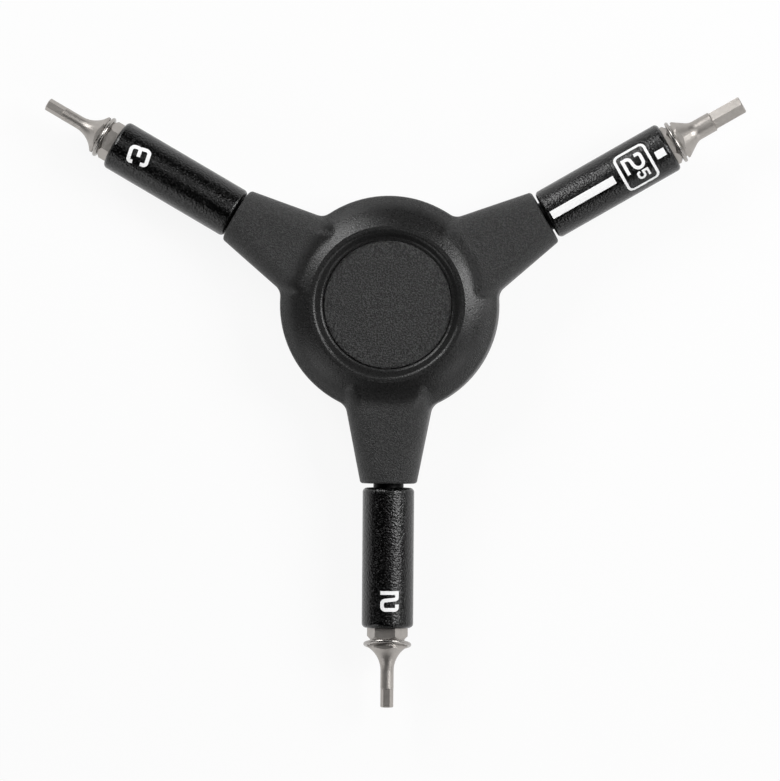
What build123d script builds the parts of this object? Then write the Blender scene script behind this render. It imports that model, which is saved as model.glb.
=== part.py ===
"""Y wrench: three hex bits on three arms, each bit's shank carrying a grip sleeve that spins and slides a little.

Millimetres. The origin is the point in the middle of the hub where the axes of the three shanks cross. +Z comes out
of the front cap, the bottom arm points along -Y, and a place along an arm is its distance from the origin.
"""

from build123d import *
from math import radians, sin, tan
import os

os.makedirs("parts", exist_ok=True)

# The three arms, counterclockwise from +X
arm_angles = {"left": 150, "right": 30, "bottom": -90}

# Hub, one moulding with the arms, its rims standing a little above the arms' roots
hub_radius = 19.4
rim_stand = 0.4
hub_side = 7.6
hub_edge = 1.2
dome_bulge = 0.35
rim_width = 0.98
rim_edge = 0.15
rim_round = 0.8

# Dish in each face of the hub, with its slightly crowned cap
dish_radius = 11.5
dish_ledge = 0.36
dish_slope = 1.06
dish_foot_round = 0.6
dish_depth = 1.5
cap_thickness = 1.0
cap_crown = 0.25
cap_clearance = 0.05
cap_edge = 0.4
rib_height = 0.8
rib_radius = 7.9
rib_width = 2.8

# Arms: a rounded rectangle deep in the hub, drawn out to a nearly round end
arm_root_inset = 1.9
arm_root_width = 17.3
arm_root_corner = 2.8
arm_end = 31.8
arm_end_stand = 0.425
arm_end_flat = 0.25
arm_end_edge = 0.6
arm_fillet = 2.4

# Steel core in the hub's well, and the pins that lock the shanks in it
core_radius = 9.4
core_wall = 1.025
core_edge = 0.4
core_clearance = 0.05
pin_diameter = 2.5
pin_place = 6.6
pin_recess = 0.4
pin_edge = 0.25
pin_clearance = 0.02

# Shanks of quarter-inch hexagon bar
shank_flats = 6.35
shank_start = 4.2
shank_clearance = 0.03
relief_depth = 0.475
relief_inset = 0.4
relief_length = 1.6
bar_chamfer = 0.6

# Collar turned on each shank, past the groove for the retaining ring
collar_rise = 0.35
collar_width = 0.35
groove_depth = 0.075
groove_width = 1.1

# Retaining rings: how far each lies from its sleeve pushed home, and behind its collar's outer face. The bottom one
# stands proud and askew
ring_wire = 0.7
ring_clearance = 0.03
ring_gap_angle = 24
left_ring_run = 2.3
right_ring_run = 1.45
bottom_ring_run = 3.35
ring_setback = 1.0
bottom_ring_setback = 0.45
left_ring_spread = 0.06
right_ring_spread = 0.15
bottom_ring_spread = 0.45
bottom_ring_tilt = 11

# Thin bit, on the left and bottom arms
thin_flats = 2.0
thin_tip_length = 3.15
thin_neck_diameter = 2.36
thin_shoulder = 7.65
thin_flare_angle = 52
thin_flare_share = 0.8

# Thick bit, on the right arm
thick_flats = 3.0
thick_tip_length = 5.9
thick_neck_diameter = 3.58
thick_shoulder = 6.6
thick_flare_angle = 34
thick_flare_share = 0.22

# Both bits
tip_taper = 0.25
tip_chamfer = 0.15

# How each hexagon is turned about its arm: at 30 degrees a flat faces front, at 0 a corner
shank_turn = 30
bottom_shank_turn = 34
thin_tip_turn = 30
thick_tip_turn = 0

# Grip sleeves, and the bush that each one spins on
sleeve_wall = 0.51
sleeve_length = 25.0
sleeve_edge_share = 0.91
lip_depth = 0.365
lip_width = 0.6
bush_wall = 0.875
bush_edge = 0.2
bush_clearance = 0.04
bush_end_clearance = 0.05
left_sleeve_gap = 0.25
right_sleeve_gap = 0.4
bottom_sleeve_gap = 0.75

# Cuts run this far past what they cut
overrun = 1.0

# The shank's bar sets the core, the core sets how thick the hub is, and the bar sets what it carries
core_height = shank_flats + 2 * core_wall
cap_seat = core_height / 2 + rib_height
dish_floor = cap_seat + cap_thickness
rim_height = dish_floor + dish_depth
arm_root_height = 2 * (rim_height - rim_stand)
dish_foot = dish_radius + dish_ledge
rim_inner = dish_foot + dish_slope
rim_outer = rim_inner + rim_width
arm_root = rim_outer - arm_root_inset
cap_radius = dish_radius - cap_clearance
well_radius = core_radius + core_clearance
shank_bore_flats = shank_flats + 2 * shank_clearance
relief_diameter = shank_flats - 2 * relief_depth
collar_diameter = shank_flats + 2 * collar_rise
groove_diameter = shank_flats - 2 * groove_depth
bush_bore_flats = shank_flats + 2 * bush_clearance
bush_diameter = shank_flats + 2 * bush_wall
sleeve_bore = bush_diameter + 2 * bush_clearance
sleeve_diameter = sleeve_bore + 2 * sleeve_wall
sleeve_edge = sleeve_edge_share * (sleeve_wall + lip_depth)
lip_diameter = sleeve_bore - 2 * lip_depth
arm_end_size = sleeve_diameter + 2 * arm_end_stand
arm_end_corner = (arm_end_size - arm_end_flat) / 2

thin_bit = dict(
    flats=thin_flats,
    tip_length=thin_tip_length,
    neck=thin_neck_diameter,
    shoulder=thin_shoulder,
    flare_angle=thin_flare_angle,
    flare_share=thin_flare_share,
    turn=thin_tip_turn,
)
thick_bit = dict(
    flats=thick_flats,
    tip_length=thick_tip_length,
    neck=thick_neck_diameter,
    shoulder=thick_shoulder,
    flare_angle=thick_flare_angle,
    flare_share=thick_flare_share,
    turn=thick_tip_turn,
)
bits = {"left": thin_bit, "right": thick_bit, "bottom": thin_bit}
shank_turns = {"left": shank_turn, "right": shank_turn, "bottom": bottom_shank_turn}
ring_runs = {"left": left_ring_run, "right": right_ring_run, "bottom": bottom_ring_run}
ring_setbacks = {"left": ring_setback, "right": ring_setback, "bottom": bottom_ring_setback}
ring_spreads = {"left": left_ring_spread, "right": right_ring_spread, "bottom": bottom_ring_spread}
ring_tilts = {"left": 0, "right": 0, "bottom": bottom_ring_tilt}
sleeve_gaps = {"left": left_sleeve_gap, "right": right_sleeve_gap, "bottom": bottom_sleeve_gap}


def outward(arm):
    """The direction in which an arm points."""
    return Vector(1, 0, 0).rotate(Axis.Z, arm_angles[arm])


def arm_axis(arm):
    return Axis((0, 0, 0), outward(arm))


def across(arm, place):
    """The plane square to an arm at a place along it: local x is +Z and local z points outward."""
    return Plane(origin=outward(arm) * place, x_dir=(0, 0, 1), z_dir=outward(arm))


def along(arm):
    """The plane of an arm's axis and +Z: local x points outward and local y is +Z."""
    return Plane(origin=(0, 0, 0), x_dir=outward(arm), z_dir=outward(arm).cross(Vector(0, 0, 1)))


def ring_place(arm):
    """Where a retaining ring's middle lies along its arm."""
    return arm_end + sleeve_length + ring_runs[arm] + ring_wire / 2


def hexagon(flats, turn):
    RegularPolygon(radius=flats / 2, side_count=6, major_radius=False, rotation=turn)


def make_shaft(arm):
    """A length of hexagon bar, turned to its relief, ring groove, collar, flare and neck, with a hex tip left on it."""
    bit = bits[arm]
    bar_radius = shank_flats
    relief_start = arm_end - relief_inset
    relief_end = relief_start + relief_length
    collar_end = ring_place(arm) + ring_setbacks[arm]
    collar_start = collar_end - collar_width
    bar_end = collar_start - groove_width
    neck_radius = bit["neck"] / 2
    flare_angle = radians(bit["flare_angle"])
    flare_rise = collar_diameter / 2 - neck_radius
    flare_foot = collar_end + flare_rise / tan(flare_angle)
    flare_round = bit["flare_share"] * flare_rise / sin(flare_angle) / tan(flare_angle / 2)
    tip_start = collar_end + bit["shoulder"]
    with BuildPart() as shaft:
        with BuildSketch(across(arm, shank_start)):
            hexagon(shank_flats, shank_turns[arm])
        extrude(amount=tip_start - shank_start)
        with BuildSketch(along(arm)) as outline:
            with BuildLine():
                Polyline(
                    (shank_start, 0),
                    (shank_start, bar_radius),
                    (relief_start, bar_radius),
                    (relief_start, relief_diameter / 2),
                    (relief_end, relief_diameter / 2),
                    (relief_end, bar_radius),
                    (bar_end - bar_chamfer, bar_radius),
                    (bar_end - bar_chamfer, shank_flats / 2 + bar_chamfer),
                    (bar_end, shank_flats / 2),
                    (bar_end, groove_diameter / 2),
                    (collar_start, groove_diameter / 2),
                    (collar_start, collar_diameter / 2),
                    (collar_end, collar_diameter / 2),
                    (flare_foot, neck_radius),
                    (tip_start - tip_taper, neck_radius),
                    (tip_start, bit["flats"] / 2),
                    (tip_start, 0),
                    close=True,
                )
            make_face()
            foot = outline.vertices().sort_by_distance((flare_foot, neck_radius))[0]
            fillet(foot, flare_round)
        revolve(axis=arm_axis(arm), mode=Mode.INTERSECT)
        with BuildSketch(across(arm, tip_start - tip_taper)):
            hexagon(bit["flats"], bit["turn"])
        extrude(amount=bit["tip_length"] + tip_taper)
        chamfer(shaft.faces().sort_by(arm_axis(arm))[-1].edges(), tip_chamfer)
        with BuildSketch(Plane.XY.offset(-shank_flats)):
            with Locations(outward(arm) * pin_place):
                Circle(pin_diameter / 2 + pin_clearance)
        extrude(amount=2 * shank_flats, mode=Mode.SUBTRACT)
    return shaft.part


def make_lock_pin(arm):
    """A dowel down through the core and the shank, a little short of the core's faces."""
    with BuildPart() as pin:
        with BuildSketch(Plane.XY.offset(pin_recess - core_height / 2)):
            with Locations(outward(arm) * pin_place):
                Circle(pin_diameter / 2)
        extrude(amount=core_height - 2 * pin_recess)
        chamfer(pin.edges().filter_by(GeomType.CIRCLE), pin_edge)
    return pin.part


def make_ring(arm):
    """A split ring of round wire in the shank's groove, its gap towards the rear."""
    seat = Plane(across(arm, ring_place(arm)).location * Rotation(0, ring_tilts[arm], 0))
    wire_plane = Plane(seat.location * Rotation(0, 0, 180 + ring_gap_angle / 2) * Rotation(90, 0, 0))
    ring_inner = groove_diameter / 2 + ring_clearance + ring_spreads[arm]
    with BuildPart() as ring:
        with BuildSketch(wire_plane):
            with Locations((ring_inner + ring_wire / 2, 0)):
                Circle(ring_wire / 2)
        revolve(axis=Axis(seat.origin, seat.z_dir), revolution_arc=360 - ring_gap_angle)
    return ring.part


def make_sleeve(arm):
    """A grip sleeve with a lip at each end that keeps its bush in."""
    start = arm_end + sleeve_gaps[arm]
    end = start + sleeve_length
    with BuildPart() as sleeve:
        with BuildSketch(along(arm)) as wall:
            with BuildLine():
                Polyline(
                    (start, lip_diameter / 2),
                    (start, sleeve_diameter / 2),
                    (end, sleeve_diameter / 2),
                    (end, lip_diameter / 2),
                    (end - lip_width, lip_diameter / 2),
                    (end - lip_width, sleeve_bore / 2),
                    (start + lip_width, sleeve_bore / 2),
                    (start + lip_width, lip_diameter / 2),
                    close=True,
                )
            make_face()
            fillet(wall.vertices().group_by(Axis.Y)[-1], sleeve_edge)
        revolve(axis=arm_axis(arm))
    return sleeve.part


def make_bush(arm):
    """A round bush between the sleeve's lips, with a hexagon bore that slides on the shank and cannot turn."""
    start = arm_end + sleeve_gaps[arm] + lip_width + bush_end_clearance
    length = sleeve_length - 2 * (lip_width + bush_end_clearance)
    with BuildPart() as bush:
        with BuildSketch(across(arm, start)):
            Circle(bush_diameter / 2)
        extrude(amount=length)
        chamfer(bush.edges().filter_by(GeomType.CIRCLE), bush_edge)
        with BuildSketch(across(arm, start)):
            hexagon(bush_bore_flats, shank_turns[arm])
        extrude(amount=length, mode=Mode.SUBTRACT)
    return bush.part


# Body: the hub is turned, the arms grow out of it and are blended in, then the dishes, well and bores are cut
with BuildPart() as body:
    with BuildSketch(Plane.XZ) as hub_profile:
        with BuildLine():
            crest = Line((0, rim_height), (rim_outer, rim_height))
            dome = SagittaArc(crest @ 1, (hub_radius, hub_side / 2), dome_bulge)
            side = Line(dome @ 1, (hub_radius, 0))
            Polyline(side @ 1, (0, 0), crest @ 0)
        make_face()
        fillet(hub_profile.vertices().sort_by_distance(dome @ 1)[0], hub_edge)
        fillet(hub_profile.vertices().sort_by_distance(crest @ 1)[0], rim_edge)
        mirror(about=Plane.XZ)
    revolve(axis=Axis.Z)
    for arm in arm_angles:
        with BuildSketch(across(arm, arm_root)):
            RectangleRounded(arm_root_height, arm_root_width, arm_root_corner)
        with BuildSketch(across(arm, arm_end)):
            RectangleRounded(arm_end_size, arm_end_size, arm_end_corner)
        loft()
        fillet(body.edges(Select.NEW), arm_fillet)
        fillet(body.faces().sort_by(arm_axis(arm))[-1].edges(), arm_end_edge)
    with BuildSketch(Plane.XZ) as dish_profile:
        with BuildLine():
            Polyline(
                (0, cap_seat),
                (dish_radius, cap_seat),
                (dish_radius, dish_floor),
                (dish_foot, dish_floor),
                (rim_inner, rim_height),
                (rim_outer - rim_edge, rim_height),
                (rim_outer - rim_edge, rim_height + overrun),
                (0, rim_height + overrun),
                close=True,
            )
        make_face()
        fillet(dish_profile.vertices().sort_by_distance((dish_foot, dish_floor))[0], dish_foot_round)
        fillet(dish_profile.vertices().sort_by_distance((rim_inner, rim_height))[0], rim_round)
        mirror(about=Plane.XZ)
    revolve(axis=Axis.Z, mode=Mode.SUBTRACT)
    with BuildSketch(Plane.XY.offset(-core_height / 2)):
        Circle(well_radius)
    extrude(amount=core_height / 2 + cap_seat, mode=Mode.SUBTRACT)
    for arm in arm_angles:
        with BuildSketch(across(arm, shank_start)):
            hexagon(shank_bore_flats, shank_turns[arm])
        extrude(amount=arm_end - shank_start + overrun, mode=Mode.SUBTRACT)
body.part.label = "body"
export_step(body.part, "parts/body.step")

# Core: a disc in the well with a hexagon socket for each shank and a hole for each pin
with BuildPart() as core:
    with BuildSketch(Plane.XY.offset(-core_height / 2)):
        Circle(core_radius)
    extrude(amount=core_height)
    chamfer(core.edges().filter_by(GeomType.CIRCLE), core_edge)
    for arm in arm_angles:
        with BuildSketch(across(arm, shank_start)):
            hexagon(shank_bore_flats, shank_turns[arm])
        extrude(amount=core_radius, mode=Mode.SUBTRACT)
        with BuildSketch(Plane.XY.offset(-core_height / 2)):
            with Locations(outward(arm) * pin_place):
                Circle(pin_diameter / 2 + pin_clearance)
        extrude(amount=core_height, mode=Mode.SUBTRACT)
core.part.label = "hub_core"
export_step(core.part, "parts/hub_core.step")

# Caps: a crowned disc in the bottom of each dish. The front one has a rib under it that holds the core and the pins
# down, and the rear one lies on the body's floor
for name, side in {"front_cap": 1, "rear_cap": -1}.items():
    with BuildPart() as cap:
        with BuildSketch(Plane.XZ) as cap_profile:
            with BuildLine():
                wall = Line((cap_radius, side * cap_seat), (cap_radius, side * dish_floor))
                crown = TangentArc((0, side * (dish_floor + cap_crown)), wall @ 1, tangent=(1, 0))
                Polyline(crown @ 0, (0, side * cap_seat), wall @ 0)
            make_face()
            fillet(cap_profile.vertices().sort_by_distance(wall @ 1)[0], cap_edge)
        revolve(axis=Axis.Z)
        if name == "front_cap":
            with BuildSketch(Plane.XY.offset(core_height / 2)):
                Circle(rib_radius)
                Circle(rib_radius - rib_width, mode=Mode.SUBTRACT)
            extrude(amount=rib_height)
    cap.part.label = name
    export_step(cap.part, f"parts/{name}.step")

# What each arm carries
makers = {
    "shaft": make_shaft,
    "lock_pin": make_lock_pin,
    "ring": make_ring,
    "bush": make_bush,
    "sleeve": make_sleeve,
}
for arm in arm_angles:
    for name, make in makers.items():
        piece = make(arm)
        piece.label = f"{name}_{arm}"
        export_step(piece, f"parts/{name}_{arm}.step")
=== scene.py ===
"""Looks of the y wrench: the finish of each piece, the size marks printed on its sleeves, and the studio.

Metres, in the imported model's frame. +Z comes out of the front, which the camera looks down on, and the
bottom arm points along -Y. The origin is in the middle of the hub.
"""

import bpy
from math import ceil, cos, pi, radians, sin, tan
from mathutils import Matrix, Vector


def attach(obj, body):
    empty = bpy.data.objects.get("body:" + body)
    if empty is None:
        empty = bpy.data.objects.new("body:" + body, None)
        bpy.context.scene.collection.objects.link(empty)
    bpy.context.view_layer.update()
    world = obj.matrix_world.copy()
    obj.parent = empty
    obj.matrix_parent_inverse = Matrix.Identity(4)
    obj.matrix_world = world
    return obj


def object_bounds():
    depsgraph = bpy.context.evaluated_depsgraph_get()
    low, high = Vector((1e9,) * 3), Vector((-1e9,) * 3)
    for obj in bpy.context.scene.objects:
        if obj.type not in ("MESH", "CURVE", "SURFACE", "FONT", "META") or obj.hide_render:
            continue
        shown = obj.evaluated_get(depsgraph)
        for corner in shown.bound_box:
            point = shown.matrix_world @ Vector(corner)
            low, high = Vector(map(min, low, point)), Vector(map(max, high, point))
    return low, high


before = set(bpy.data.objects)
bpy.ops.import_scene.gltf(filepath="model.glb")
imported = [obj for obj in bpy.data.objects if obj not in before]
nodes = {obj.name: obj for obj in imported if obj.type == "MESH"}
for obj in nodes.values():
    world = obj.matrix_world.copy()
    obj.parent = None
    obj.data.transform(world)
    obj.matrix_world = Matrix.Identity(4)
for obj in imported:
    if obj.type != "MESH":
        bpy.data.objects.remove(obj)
cad_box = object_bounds()
bpy.ops.object.select_all(action="DESELECT")

MM = 0.001

# The arms' directions, counterclockwise from +X
ARM_ANGLES = {"left": radians(150), "right": radians(30), "bottom": radians(-90)}

# The photograph: its scale, where the origin is from its left and top, and how far the wrench was turned
# and leant to the right in it
PHOTO_WIDTH_PX = 780
PHOTO_HEIGHT_PX = 781
PX_PER_METRE = 5607
HUB_PX = Vector((389.9, 305.1))
TURN_IN_PHOTO = radians(0.45)
LEAN_TO_RIGHT = radians(4.0)
CAMERA_DISTANCE = 1.0
SENSOR_WIDTH = 36.0

# Finishes: the size of each pattern, and the depth of its relief
NYLON_GRAIN = 0.28 * MM
NYLON_RELIEF = 0.3 * MM
CAP_RELIEF = 0.25 * MM
COAT_PEBBLE = 0.42 * MM
COAT_PEBBLE_RELIEF = 0.045 * MM
COAT_GRAIN = 0.31 * MM
COAT_GRAIN_RELIEF = 0.085 * MM
INK_GRAIN = 0.35 * MM
INK_RELIEF = 0.01 * MM
ACETAL_CLOUD = 2.0 * MM

# Metals: their clouds, and each one's grey, roughnesses, grain and relief
METAL_CLOUD = 1.1 * MM
METAL_CLOUD_SHARES = (0.86, 1.1)
METALS = {
    "bit_steel": dict(level=0.42, warmth=0.06, roughness=(0.40, 0.50), grain=0.25 * MM, relief=0.02 * MM),
    "ring_steel": dict(level=0.38, warmth=0.05, roughness=(0.22, 0.32), grain=0.3 * MM, relief=0.004 * MM),
    "core_aluminium": dict(level=0.62, warmth=0.0, roughness=(0.3, 0.4), grain=0.5 * MM, relief=0.01 * MM),
    "pin_steel": dict(level=0.5, warmth=0.0, roughness=(0.2, 0.3), grain=0.3 * MM, relief=0.004 * MM),
}

# The range that most of a noise lies in, and the ranges over which specks run from dark to pale
NOISE_RANGE = (0.3, 0.7)
NYLON_SPECKS = (0.40, 0.66)
COAT_SPARKLES = (0.55, 0.72)

# How strongly the nylon and the coat mirror
NYLON_SPECULAR = 0.44
COAT_SPECULAR = 0.52

# The hub's slope and rim are polished, with a share of the arms' grain. The polish ends between two radii
POLISH_EDGE = (16.5 * MM, 20.0 * MM)
POLISHED_GRAIN_SHARE = 0.2

# The bits are painted black near the hub, as the shade in the gap between arm and sleeve, and bare from a
# radius on, give or take an edge
PAINTED_SHADE_GREY = 0.01
BARE_FROM = 33.4 * MM
BARE_EDGE = 0.1 * MM

# Size marks: the ink reaches a height above the coat and as far below it, and is wrapped round in steps
INK_HEIGHT = 0.02 * MM
WRAP_STEP = 0.3 * MM
ARC_STEP = radians(18)
LONGEST_ARC_SHARE = 0.49

# Figures, in shares of their box, which is taken through the middle of the line. Each corner is across, up
# and, as a share of the mark's radius, how round
TWO_SHARES = [
    [(0, 0.68, 0), (0, 1, 0.6), (1, 1, 0.8), (1, 0.47, 0.8), (0, 0.38, 0.6), (0, 0, 0), (1.12, 0, 0)]
]
THREE_SHARES = [
    [(0, 0.75, 0), (0, 1, 0.7), (1, 1, 0.9), (1, 0.52, 0.6), (0.42, 0.52, 0)],
    [(0.7, 0.52, 0), (1, 0.52, 0.6), (1, 0, 0.9), (0, 0, 0.7), (0, 0.32, 0)],
]
FIVE_SHARES = [
    [(1.08, 1, 0), (0, 1, 0), (0, 0.56, 0), (1, 0.6, 1.0), (1, 0, 1.0), (0, 0, 1.0), (-0.05, 0.27, 0)]
]

# Marks, by the place of their middle and their sizes. The middle lies to the right of the arm's middle line,
# and out from the sleeve's inner end or, below zero, in from its outer end
LEFT_3 = dict(
    right=0.36 * MM, out=-5.23 * MM, width=3.4 * MM, height=4.05 * MM, line=0.68 * MM, radius=0.75 * MM,
    turn=radians(12),
)
BOTTOM_2 = dict(
    right=-0.68 * MM, out=-4.87 * MM, width=3.35 * MM, height=3.65 * MM, line=0.66 * MM, radius=0.72 * MM
)
RIGHT_2 = dict(
    right=-0.26 * MM, out=-6.97 * MM, width=3.0 * MM, height=3.95 * MM, line=0.6 * MM, radius=1.2 * MM
)
RIGHT_5 = dict(
    right=2.32 * MM, out=-6.29 * MM, width=1.6 * MM, height=2.35 * MM, line=0.42 * MM, radius=0.55 * MM
)
RIGHT_FRAME = dict(
    right=0.72 * MM, out=-6.92 * MM, width=7.65 * MM, height=6.4 * MM, line=0.50 * MM, radius=0.95 * MM
)
LONG_BAR = dict(right=0.6 * MM, out=7.27 * MM, width=1.5 * MM, length=12.84 * MM)
SHORT_BAR = dict(right=0.59 * MM, out=-2.0 * MM, width=1.45 * MM, length=1.85 * MM)

# Studio
FLOOR_SIZE = 10.0
FLOOR_GAP = 0.02 * MM
FLOOR_GREY = 0.85
SHADOW_SHARE = 0.1
LIGHT_DISTANCE = 0.6

# The room glows a little all over, and more at the horizon and below it. That glow fades out upwards, up to
# a height that is a share of straight up
ROOM_GLOW = 0.02
HORIZON_GLOW = 0.6
HORIZON_SHARE = 0.3

# Square panels: degrees counterclockwise from +X, degrees down from straight above, width and radiance
SOFTBOXES = {
    "left_softbox": (131, 54, 0.26, 9.0),
    "right_softbox": (17, 48, 0.30, 9.2),
    "overhead_softbox": (60, 20, 0.26, 1.4),
    "low_left_softbox": (220, 66, 0.26, 2.0),
    "low_right_softbox": (318, 66, 0.26, 2.4),
}


# Arms

def outward(arm):
    """The direction in which an arm points."""
    return Vector((cos(ARM_ANGLES[arm]), sin(ARM_ANGLES[arm]), 0))


def rightward(arm):
    """The direction to the right of an arm, as a reader sees it who has its tip at the top."""
    return Vector((sin(ARM_ANGLES[arm]), -cos(ARM_ANGLES[arm]), 0))


# Shader nodes

def new_material(name):
    """A material, its Principled shader, and the place on the object that its patterns are drawn in."""
    material = bpy.data.materials.new(name)
    material.use_nodes = True
    place = material.node_tree.nodes.new("ShaderNodeTexCoord").outputs["Object"]
    return material, material.node_tree.nodes["Principled BSDF"], place


def add_node(material, kind, settings=None, **inputs):
    """A node of a kind, with its settings and its inputs."""
    new = material.node_tree.nodes.new(kind)
    for name, value in (settings or {}).items():
        setattr(new, name, value)
    for name, value in inputs.items():
        connect(material, new, name.replace("_", " "), value)
    return new


def connect(material, node, name, value):
    """Links an input to a socket, or sets its value. The input goes by name, or by number as in input0."""
    socket = node.inputs[int(name[5:])] if name.startswith("input") else node.inputs[name]
    if isinstance(value, bpy.types.NodeSocket):
        material.node_tree.links.new(value, socket)
    else:
        socket.default_value = value


def math(material, operation, *values):
    """One sum on two or three values."""
    inputs = {f"input{number}": value for number, value in enumerate(values)}
    return add_node(material, "ShaderNodeMath", {"operation": operation}, **inputs).outputs[0]


def span(material, value, low, high, to_low=0.0, to_high=1.0):
    """A value drawn smoothly from one range into another."""
    return add_node(
        material,
        "ShaderNodeMapRange",
        {"interpolation_type": "SMOOTHSTEP"},
        Value=value,
        From_Min=low,
        From_Max=high,
        To_Min=to_low,
        To_Max=to_high,
    ).outputs["Result"]


def spread(material, pattern, low, high):
    """A noise drawn over a range."""
    return span(material, pattern, *NOISE_RANGE, low, high)


def noise(material, place, size, detail=2.0, roughness=0.5):
    """Cloudy noise whose patches are about one size across."""
    return add_node(
        material,
        "ShaderNodeTexNoise",
        Vector=place,
        Scale=1 / size,
        Detail=detail,
        Roughness=roughness,
    ).outputs["Fac"]


def mix(material, factor, first, second):
    """A colour between two."""
    return add_node(
        material, "ShaderNodeMix", {"data_type": "RGBA"}, Factor=factor, input6=first, input7=second
    ).outputs[2]


def from_centre(material, place):
    """Distance from the wrench's upright middle line."""
    flat = add_node(
        material, "ShaderNodeVectorMath", {"operation": "MULTIPLY"}, input0=place, input1=(1.0, 1.0, 0.0)
    ).outputs["Vector"]
    return add_node(material, "ShaderNodeVectorMath", {"operation": "LENGTH"}, input0=flat).outputs["Value"]


def bump(material, height, depth, under=None):
    """Relief of a depth, on top of another relief if there is one."""
    relief = add_node(material, "ShaderNodeBump", Height=height, Distance=depth, Strength=1.0)
    if under:
        connect(material, relief, "Normal", under)
    return relief.outputs["Normal"]


def grey(level, warmth=0.0):
    """A nearly neutral colour, its red lifted and its blue lowered by a share of it."""
    return (level * (1 + warmth), level, level * (1 - warmth), 1.0)


# Finishes

def moulded_nylon():
    """Satin black with the grain of a spark-eroded mould, weaker on the hub's polished slope and rim."""
    material, shader, place = new_material("moulded_nylon")
    radius = from_centre(material, place)
    off_hub = span(material, radius, *POLISH_EDGE, POLISHED_GRAIN_SHARE, 1.0)
    satin = span(material, radius, *POLISH_EDGE, 0.26, 0.40)
    grain = noise(material, place, NYLON_GRAIN, detail=3.0, roughness=0.6)
    specks = math(material, "MULTIPLY", span(material, grain, *NYLON_SPECKS), off_hub)
    relief = math(material, "MULTIPLY", grain, off_hub)
    connect(material, shader, "Base Color", mix(material, specks, grey(0.009), grey(0.042)))
    connect(material, shader, "Specular IOR Level", NYLON_SPECULAR)
    connect(material, shader, "Roughness", math(material, "ADD", satin, spread(material, grain, 0.0, 0.06)))
    connect(material, shader, "Normal", bump(material, relief, NYLON_RELIEF))
    return material


def cap_nylon():
    """The same nylon with speckles of more contrast, grained all over."""
    material, shader, place = new_material("cap_nylon")
    grain = noise(material, place, NYLON_GRAIN, detail=3.0, roughness=0.65)
    specks = span(material, grain, *NYLON_SPECKS)
    connect(material, shader, "Base Color", mix(material, specks, grey(0.001), grey(0.05)))
    connect(material, shader, "Specular IOR Level", NYLON_SPECULAR)
    connect(material, shader, "Roughness", spread(material, grain, 0.40, 0.50))
    connect(material, shader, "Normal", bump(material, grain, CAP_RELIEF))
    return material


def sleeve_coat():
    """Glossy black powder coat with a fine pebbled skin, which catches the light in sparkles."""
    material, shader, place = new_material("sleeve_coat")
    pebbles = add_node(
        material,
        "ShaderNodeTexVoronoi",
        {"feature": "SMOOTH_F1"},
        Vector=place,
        Scale=1 / COAT_PEBBLE,
        Smoothness=0.6,
    ).outputs["Distance"]
    grain = noise(material, place, COAT_GRAIN, roughness=0.6)
    sparkles = span(material, grain, *COAT_SPARKLES)
    relief = bump(material, pebbles, COAT_PEBBLE_RELIEF)
    connect(material, shader, "Base Color", mix(material, sparkles, grey(0.0005), grey(0.026)))
    connect(material, shader, "Specular IOR Level", COAT_SPECULAR)
    connect(material, shader, "Roughness", spread(material, grain, 0.12, 0.22))
    connect(material, shader, "Normal", bump(material, grain, COAT_GRAIN_RELIEF, under=relief))
    return material


def mark_ink():
    """Matt white ink with a faint grain."""
    material, shader, place = new_material("mark_ink")
    grain = noise(material, place, INK_GRAIN)
    connect(material, shader, "Base Color", mix(material, grain, grey(0.93), grey(0.97)))
    connect(material, shader, "Roughness", 0.55)
    connect(material, shader, "Normal", bump(material, grain, INK_RELIEF))
    return material


def bush_acetal():
    """Smooth dark grey acetal, faintly clouded."""
    material, shader, place = new_material("bush_acetal")
    clouds = noise(material, place, ACETAL_CLOUD)
    connect(material, shader, "Base Color", mix(material, clouds, grey(0.045), grey(0.06)))
    connect(material, shader, "Roughness", spread(material, clouds, 0.28, 0.34))
    return material


def metal(name, bare_from=None):
    """Clouded metal with a fine grain, between two roughnesses. It can be painted black nearer to the hub,
    as shade between arm and sleeve.
    """
    looks = METALS[name]
    material, shader, place = new_material(name)
    grain = noise(material, place, looks["grain"], detail=3.0, roughness=0.6)
    clouds = noise(material, place, METAL_CLOUD)
    dark, light = (grey(looks["level"] * share, looks["warmth"]) for share in METAL_CLOUD_SHARES)
    colour = mix(material, clouds, dark, light)
    # Painted shade: inside a radius the colour turns black, for the shade in the gap between arm and sleeve
    if bare_from:
        radius = from_centre(material, place)
        bare = span(material, radius, bare_from - BARE_EDGE, bare_from + BARE_EDGE)
        colour = mix(material, bare, grey(PAINTED_SHADE_GREY), colour)
    connect(material, shader, "Metallic", 1.0)
    connect(material, shader, "Base Color", colour)
    connect(material, shader, "Roughness", spread(material, grain, *looks["roughness"]))
    connect(material, shader, "Normal", bump(material, grain, looks["relief"]))
    return material


# Each node's finish goes by a word in its name
finishes = {
    "body": moulded_nylon(),
    "cap": cap_nylon(),
    "sleeve": sleeve_coat(),
    "bush": bush_acetal(),
    "shaft": metal("bit_steel", BARE_FROM),
    "ring": metal("ring_steel"),
    "core": metal("core_aluminium"),
    "pin": metal("pin_steel"),
}

for name, node in nodes.items():
    node.data.materials.clear()
    node.data.materials.append(next(finish for word, finish in finishes.items() if word in name.split("_")))


# Size marks

def sleeve_reach(arm):
    """How near to the hub and how far from it an arm's sleeve lies."""
    places = [vertex.co.dot(outward(arm)) for vertex in nodes[f"sleeve_{arm}"].data.vertices]
    return min(places), max(places)


def flat_place(arm, right, out):
    """Where a mark's middle is when it is laid out flat: across and along, from an end of its sleeve."""
    start, end = sleeve_reach(arm)
    return right, (start if out > 0 else end) + out


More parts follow.
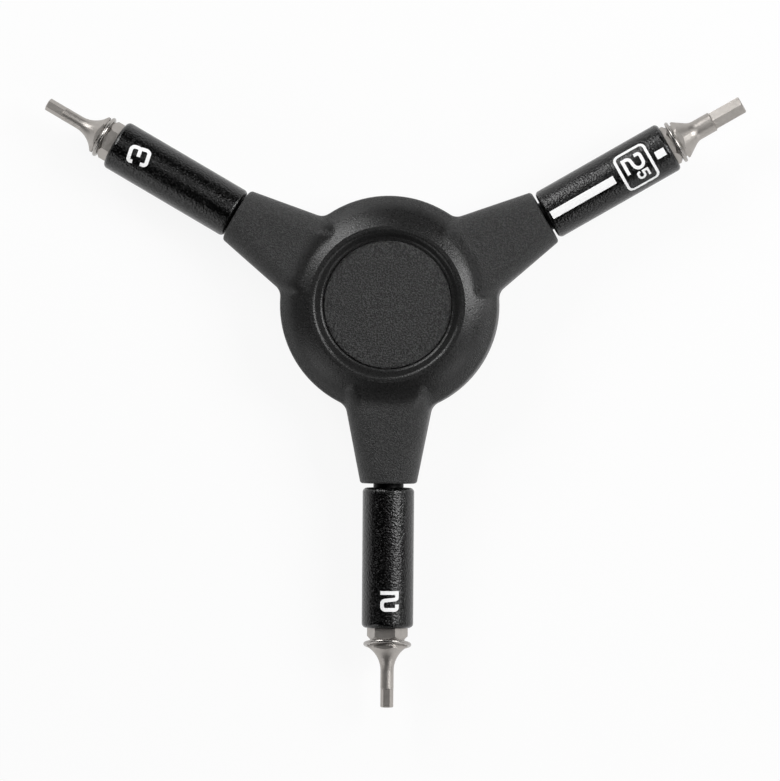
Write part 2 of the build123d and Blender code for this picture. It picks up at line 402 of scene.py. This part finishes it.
def rounded(corners, closed=False):
    """The points of a path whose corners, each with its radius, are rounded as arcs."""
    points = []
    count = len(corners)
    for number, (x, y, radius) in enumerate(corners):
        corner = Vector((x, y))
        if not closed and number in (0, count - 1) or radius == 0:
            points.append(corner)
            continue
        back = Vector(corners[number - 1][:2]) - corner
        ahead = Vector(corners[(number + 1) % count][:2]) - corner
        turn = pi - back.angle(ahead)
        longest = (LONGEST_ARC_SHARE * back.length, LONGEST_ARC_SHARE * ahead.length)
        setback = min(radius * tan(turn / 2), *longest)
        radius = setback / tan(turn / 2)
        middle = corner + (back.normalized() + ahead.normalized()).normalized() * radius / cos(turn / 2)
        start = corner + back.normalized() * setback - middle
        steps = ceil(turn / ARC_STEP)
        side = 1 if back.cross(ahead) < 0 else -1
        for step in range(steps + 1):
            points.append(middle + Matrix.Rotation(side * turn * step / steps, 2) @ start)
    return points


def draw_line(corners, width, closed=False):
    """A flat line of ink along a path, lying on the XY plane."""
    points = rounded(corners, closed)
    links = [(number, number + 1) for number in range(len(points) - 1)]
    if closed:
        links.append((len(points) - 1, 0))
    mesh = bpy.data.meshes.new("line")
    mesh.from_pydata([(x, y, 0) for x, y in points], links, [])
    line = bpy.data.objects.new("line", mesh)
    bpy.context.scene.collection.objects.link(line)
    bpy.ops.object.select_all(action="DESELECT")
    line.select_set(True)
    bpy.context.view_layer.objects.active = line
    bpy.ops.object.mode_set(mode="EDIT")
    bpy.ops.mesh.select_all(action="SELECT")
    bpy.ops.mesh.extrude_region_move(TRANSFORM_OT_translate={"value": (0, 0, 2 * INK_HEIGHT)})
    bpy.ops.mesh.select_all(action="SELECT")
    bpy.ops.transform.translate(value=(0, 0, -INK_HEIGHT))
    bpy.ops.object.mode_set(mode="OBJECT")
    wall = line.modifiers.new("width", "SOLIDIFY")
    wall.thickness = width
    wall.offset = 0
    wall.use_even_offset = True
    bpy.ops.object.modifier_apply(modifier=wall.name)
    return line


def figure(arm, shares, right, out, width, height, line, radius, turn=0.0):
    """The lines of one figure, turned counterclockwise about its middle."""
    drawn = []
    for path in shares:
        corners = []
        for across, up, round_share in path:
            at = Vector(((across - 0.5) * (width - line), (up - 0.5) * (height - line)))
            at = Matrix.Rotation(turn, 2) @ at + Vector(flat_place(arm, right, out))
            corners.append((at.x, at.y, round_share * radius))
        drawn.append(draw_line(corners, line))
    return drawn


def bar(arm, right, out, width, length):
    """A straight bar along the sleeve."""
    x, y = flat_place(arm, right, out)
    return [draw_line([(x, y - length / 2, 0), (x, y + length / 2, 0)], width)]


def border(arm, right, out, width, height, line, radius):
    """A rounded frame."""
    x, y = flat_place(arm, right, out)
    half_width = (width - line) / 2
    half_height = (height - line) / 2
    corners = [
        (x - half_width, y - half_height, radius),
        (x + half_width, y - half_height, radius),
        (x + half_width, y + half_height, radius),
        (x - half_width, y + half_height, radius),
    ]
    return [draw_line(corners, line, closed=True)]


def print_on(arm, name, lines):
    """Joins flat lines into one mark, and wraps it round the arm's sleeve."""
    sleeve_radius = max(vertex.co.z for vertex in nodes[f"sleeve_{arm}"].data.vertices)
    bpy.ops.object.select_all(action="DESELECT")
    for line in lines:
        line.select_set(True)
    mark = lines[0]
    bpy.context.view_layer.objects.active = mark
    if len(lines) > 1:
        bpy.ops.object.join()
    mark.name = mark.data.name = name
    across = [vertex.co.x for vertex in mark.data.vertices]
    bpy.ops.object.mode_set(mode="EDIT")
    for step in range(ceil((max(across) - min(across)) / WRAP_STEP)):
        bpy.ops.mesh.select_all(action="SELECT")
        bpy.ops.mesh.bisect(plane_co=(min(across) + (step + 0.5) * WRAP_STEP, 0, 0), plane_no=(1, 0, 0))
    bpy.ops.mesh.select_all(action="SELECT")
    bpy.ops.mesh.normals_make_consistent()
    bpy.ops.object.mode_set(mode="OBJECT")
    for vertex in mark.data.vertices:
        angle = vertex.co.x / sleeve_radius
        lift = sleeve_radius + vertex.co.z
        place = outward(arm) * vertex.co.y + rightward(arm) * lift * sin(angle)
        vertex.co = place + Vector((0, 0, lift * cos(angle)))
    mark.data.materials.clear()
    mark.data.materials.append(ink)
    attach(mark, f"sleeve_{arm}")


ink = mark_ink()
print_on("left", "size_3", figure("left", THREE_SHARES, **LEFT_3))
print_on("bottom", "size_2", figure("bottom", TWO_SHARES, **BOTTOM_2))
print_on(
    "right", "size_2_5", figure("right", TWO_SHARES, **RIGHT_2) + figure("right", FIVE_SHARES, **RIGHT_5)
)
print_on("right", "size_frame", border("right", **RIGHT_FRAME))
print_on("right", "long_bar", bar("right", **LONG_BAR))
print_on("right", "short_bar", bar("right", **SHORT_BAR))


# Floor, lights and room

def floor_paper():
    """Pale paper, drawn white in the camera and in reflections but for a share of its light and shadow."""
    material = bpy.data.materials.new("floor_paper")
    material.use_nodes = True
    material.node_tree.nodes.clear()
    lit = add_node(material, "ShaderNodeBsdfDiffuse", Color=grey(FLOOR_GREY)).outputs["BSDF"]
    white = add_node(material, "ShaderNodeEmission", Color=grey(1.0), Strength=1.0).outputs["Emission"]
    ray = add_node(material, "ShaderNodeLightPath").outputs
    seen = math(material, "MAXIMUM", ray["Is Camera Ray"], ray["Is Glossy Ray"])
    seen = math(material, "MAXIMUM", seen, ray["Is Transmission Ray"])
    share = math(material, "MULTIPLY", seen, 1 - SHADOW_SHARE)
    surface = add_node(material, "ShaderNodeMixShader", Fac=share, input1=lit, input2=white)
    add_node(material, "ShaderNodeOutputMaterial", Surface=surface.outputs["Shader"])
    return material


def softbox(name, azimuth, from_vertical, width, radiance):
    """A lit square panel that faces the hub."""
    light = bpy.data.lights.new(name, "AREA")
    light.shape = "SQUARE"
    light.size = width
    light.energy = radiance * pi * width**2
    aside = sin(radians(from_vertical))
    up = cos(radians(from_vertical))
    toward = Vector((aside * cos(radians(azimuth)), aside * sin(radians(azimuth)), up))
    panel = bpy.data.objects.new(name, light)
    bpy.context.scene.collection.objects.link(panel)
    panel.location = toward * LIGHT_DISTANCE
    panel.rotation_euler = toward.to_track_quat("Z", "Y").to_euler()


bpy.ops.mesh.primitive_plane_add(size=FLOOR_SIZE, location=(0, 0, cad_box[0][2] - FLOOR_GAP))
floor = bpy.context.object
floor.name = "floor"
floor.data.materials.append(floor_paper())

for name, settings in SOFTBOXES.items():
    softbox(name, *settings)

world = bpy.data.worlds.new("studio")
bpy.context.scene.world = world
world.use_nodes = True
direction = add_node(world, "ShaderNodeTexCoord").outputs["Generated"]
height = add_node(world, "ShaderNodeSeparateXYZ", Vector=direction).outputs["Z"]
near_horizon = span(world, height, 0.0, HORIZON_SHARE, 1.0, 0.0)
glow = math(world, "MULTIPLY_ADD", near_horizon, HORIZON_GLOW, ROOM_GLOW)
room = add_node(world, "ShaderNodeBackground", Color=grey(1.0), Strength=glow).outputs["Background"]
connect(world, world.node_tree.nodes["World Output"], "Surface", room)


# Camera

# The sensor's width belongs to the long side of the picture, which is the photograph's height
field = PHOTO_HEIGHT_PX / PX_PER_METRE
middle_px = Vector((PHOTO_WIDTH_PX / 2, PHOTO_HEIGHT_PX / 2)) - HUB_PX
middle = Matrix.Rotation(TURN_IN_PHOTO, 2) @ Vector((middle_px.x, -middle_px.y)) / PX_PER_METRE
camera_data = bpy.data.cameras.new("camera")
camera_data.sensor_width = SENSOR_WIDTH
camera_data.lens = SENSOR_WIDTH * CAMERA_DISTANCE / field
camera = bpy.data.objects.new("camera", camera_data)
bpy.context.scene.collection.objects.link(camera)
aim = Matrix.Rotation(TURN_IN_PHOTO, 3, "Z") @ Matrix.Rotation(LEAN_TO_RIGHT, 3, "Y")
camera.location = Vector((middle.x, middle.y, 0)) + aim @ Vector((0, 0, CAMERA_DISTANCE))
camera.rotation_euler = aim.to_euler()
bpy.context.scene.camera = camera
bpy.context.scene.view_settings.view_transform = "Standard"
